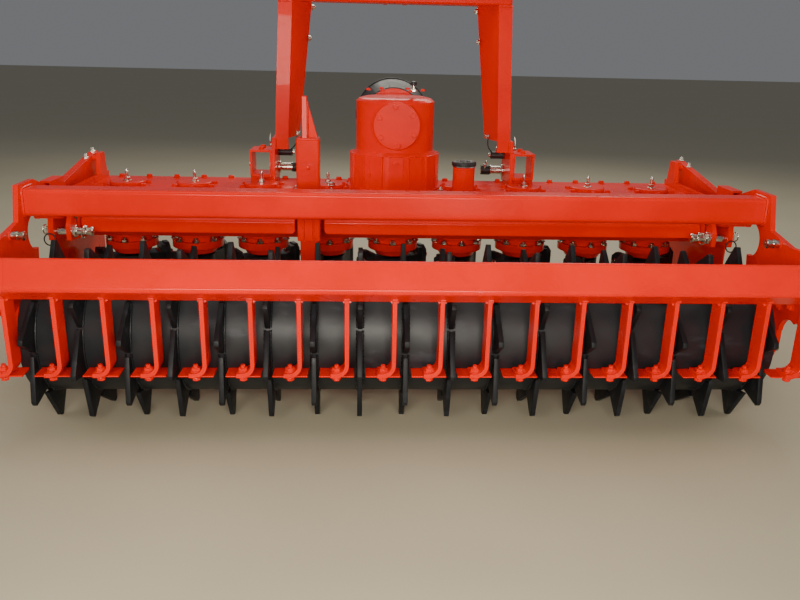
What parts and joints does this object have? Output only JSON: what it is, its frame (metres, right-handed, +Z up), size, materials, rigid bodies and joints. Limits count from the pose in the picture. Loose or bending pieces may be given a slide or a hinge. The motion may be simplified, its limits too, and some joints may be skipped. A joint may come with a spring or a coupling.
{
  "type": "power harrow",
  "caption": "Tractor-mounted power harrow with counter-rotating tine rotors, a central gearbox, a three-point headstock and a toothed packer roller with scrapers.",
  "frame": {"origin": "on the floor, under the middle of the machine's bounding box", "axes": "+X along the working width, to the right as seen from behind; +Y the direction of travel, towards the hitch; +Z up"},
  "size_m": [2.394, 1.4238, 1.288],
  "materials": {
    "red_paint": "gloss",
    "black_paint": "satin",
    "zinc": "satin",
    "bare_steel": "satin",
    "black_plastic": "matte"
  },
  "bodies": {
    "harrow": {"trough": "red_paint", "trough_lid": "red_paint", "bearing_caps": "red_paint", "bearing_carriers": "red_paint", "gearbox_housing": "red_paint", "gearbox_rear_cover": "red_paint", "pto_guard": "black_plastic", "filler_tube": "red_paint", "filler_cap": "black_plastic", "hitch_bracket_left": "red_paint", "hitch_bracket_right": "red_paint", "lower_link_pin_left": "zinc", "lower_link_pin_right": "zinc", "headstock_leg_left": "red_paint", "headstock_leg_right": "red_paint", "headstock_crossbar": "red_paint", "top_link_bracket": "red_paint", "trough_end_left": "red_paint", "trough_end_right": "red_paint", "hinge_pins": "zinc", "depth_pins": "zinc", "rear_guard_left": "red_paint", "rear_guard_right": "red_paint", "stand_socket": "red_paint"},
    "roller_frame": {"roller_arm_left": "red_paint", "roller_arm_right": "red_paint", "roller_bearings": "red_paint", "upper_beam": "red_paint", "lower_beam": "red_paint", "stop_pins": "zinc", "scraper_bars": "red_paint", "scraper_plates": "black_paint"},
    "roller": {"packer_roller": "black_paint"},
    "input_shaft": {"pto_shaft": "bare_steel"},
    "stand": {"stand_leg": "red_paint"},
    "deflector_left": {"side_deflector_left": "red_paint"},
    "deflector_right": {"side_deflector_right": "red_paint"},
    "rotor_1": {"rotor_1": "black_paint"},
    "rotor_2": {"rotor_2": "black_paint"},
    "rotor_3": {"rotor_3": "black_paint"},
    "rotor_4": {"rotor_4": "black_paint"},
    "rotor_5": {"rotor_5": "black_paint"},
    "rotor_6": {"rotor_6": "black_paint"},
    "rotor_7": {"rotor_7": "black_paint"},
    "rotor_8": {"rotor_8": "black_paint"},
    "rotor_9": {"rotor_9": "black_paint"}
  },
  "joints": [
    {"name": "roller_depth", "type": "hinge", "parent": "harrow", "child": "roller_frame", "pos_m": [0, 0.05191, 0.518], "axis": [-1, 0, 0], "range_deg": [-5, 18]},
    {"name": "roller_spin", "type": "hinge", "parent": "roller_frame", "child": "roller", "pos_m": [0, -0.40809, 0.25137], "axis": [-1, 0, 0], "continuous": true},
    {"name": "rotor_spin_5", "type": "hinge", "parent": "harrow", "child": "rotor_5", "pos_m": [0, 0.39191, 0.31], "axis": [0, 0, 1], "continuous": true},
    {"name": "rotor_spin_1", "type": "hinge", "parent": "harrow", "child": "rotor_1", "pos_m": [-1, 0.39191, 0.31], "axis": [0, 0, 1], "continuous": true},
    {"name": "rotor_spin_2", "type": "hinge", "parent": "harrow", "child": "rotor_2", "pos_m": [-0.75, 0.39191, 0.31], "axis": [0, 0, 1], "continuous": true},
    {"name": "rotor_spin_3", "type": "hinge", "parent": "harrow", "child": "rotor_3", "pos_m": [-0.5, 0.39191, 0.31], "axis": [0, 0, 1], "continuous": true},
    {"name": "rotor_spin_4", "type": "hinge", "parent": "harrow", "child": "rotor_4", "pos_m": [-0.25, 0.39191, 0.31], "axis": [0, 0, 1], "continuous": true},
    {"name": "rotor_spin_6", "type": "hinge", "parent": "harrow", "child": "rotor_6", "pos_m": [0.25, 0.39191, 0.31], "axis": [0, 0, 1], "continuous": true},
    {"name": "rotor_spin_7", "type": "hinge", "parent": "harrow", "child": "rotor_7", "pos_m": [0.5, 0.39191, 0.31], "axis": [0, 0, 1], "continuous": true},
    {"name": "rotor_spin_8", "type": "hinge", "parent": "harrow", "child": "rotor_8", "pos_m": [0.75, 0.39191, 0.31], "axis": [0, 0, 1], "continuous": true},
    {"name": "rotor_spin_9", "type": "hinge", "parent": "harrow", "child": "rotor_9", "pos_m": [1, 0.39191, 0.31], "axis": [0, 0, 1], "continuous": true},
    {"name": "pto_spin", "type": "hinge", "parent": "harrow", "child": "input_shaft", "pos_m": [0, 0.64191, 0.78], "axis": [0, 1, 0], "continuous": true},
    {"name": "stand_slide", "type": "slide", "parent": "harrow", "child": "stand", "axis": [0, 0, 1], "range_m": [0, 0.25]},
    {"name": "deflector_lift_left", "type": "hinge", "parent": "harrow", "child": "deflector_left", "pos_m": [-1.168, 0.52191, 0.612], "axis": [-1, 0, 0], "range_deg": [0, 20]},
    {"name": "deflector_lift_right", "type": "hinge", "parent": "harrow", "child": "deflector_right", "pos_m": [1.168, 0.52191, 0.612], "axis": [-1, 0, 0], "range_deg": [0, 20]}
  ],
  "couplings": [
    {"joint": "rotor_spin_1", "follows": "rotor_spin_5", "ratio": 1},
    {"joint": "rotor_spin_2", "follows": "rotor_spin_5", "ratio": -1},
    {"joint": "rotor_spin_3", "follows": "rotor_spin_5", "ratio": 1},
    {"joint": "rotor_spin_4", "follows": "rotor_spin_5", "ratio": -1},
    {"joint": "rotor_spin_6", "follows": "rotor_spin_5", "ratio": -1},
    {"joint": "rotor_spin_7", "follows": "rotor_spin_5", "ratio": 1},
    {"joint": "rotor_spin_8", "follows": "rotor_spin_5", "ratio": -1},
    {"joint": "rotor_spin_9", "follows": "rotor_spin_5", "ratio": 1},
    {"joint": "pto_spin", "follows": "rotor_spin_5", "ratio": 1.8}
  ]
}
